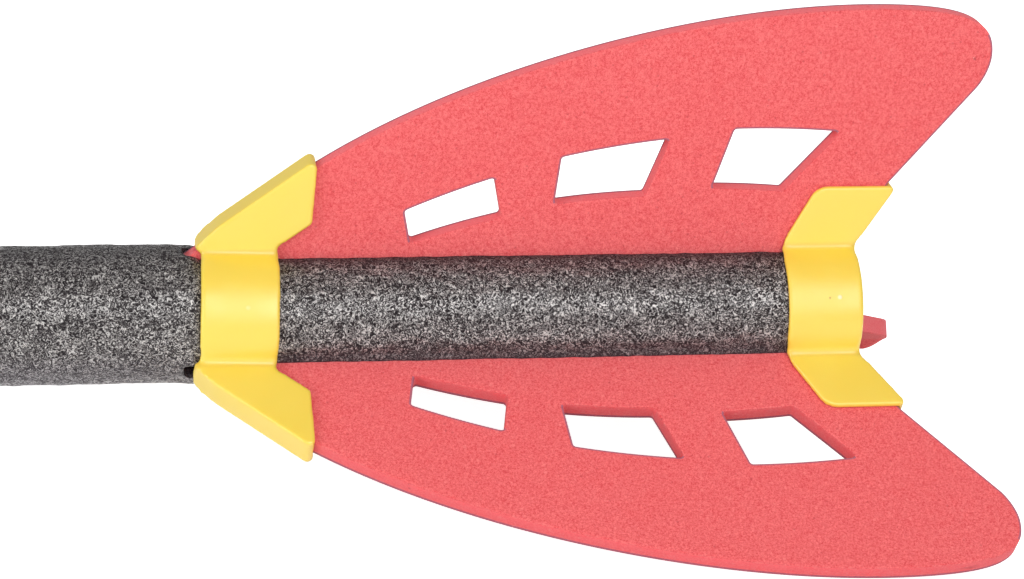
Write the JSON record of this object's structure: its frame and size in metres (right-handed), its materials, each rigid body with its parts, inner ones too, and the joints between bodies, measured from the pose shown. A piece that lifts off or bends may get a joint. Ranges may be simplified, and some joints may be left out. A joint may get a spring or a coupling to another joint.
{
  "type": "foam throwing rocket",
  "caption": "Soft foam rocket to throw by hand: a long foam tube with a rounded nose, cut-out foam fins round its tail, and moulded collars that hold them.",
  "frame": {"origin": "middle of the tail plug's flat rear face, flush with the rear collar's rear edge", "axes": "+X along the rocket's axis towards the tail, so the nose is at -X; +Z along the middle of the top fin, away from the axis; +Y completes the frame; the left fin is on the -Y side and the right fin on the +Y side"},
  "size_m": [0.8501, 0.2124, 0.184],
  "materials": {
    "foam_charcoal": "charcoal closed-cell foam, its skin full of fine bright cells",
    "foam_red": "coral red foam sheet, matte and finely grained",
    "collar_plastic": "yellow moulded plastic, softly glossy",
    "core_plastic": "grey extruded plastic"
  },
  "bodies": {
    "root": {"body_tube": "foam_charcoal", "core_tube": "core_plastic", "nose_cone": "foam_red", "tail_plug": "collar_plastic", "top_fin": "foam_red", "left_fin": "foam_red", "right_fin": "foam_red", "front_fin_collar": "collar_plastic", "rear_fin_collar": "collar_plastic"}
  },
  "joints": []
}
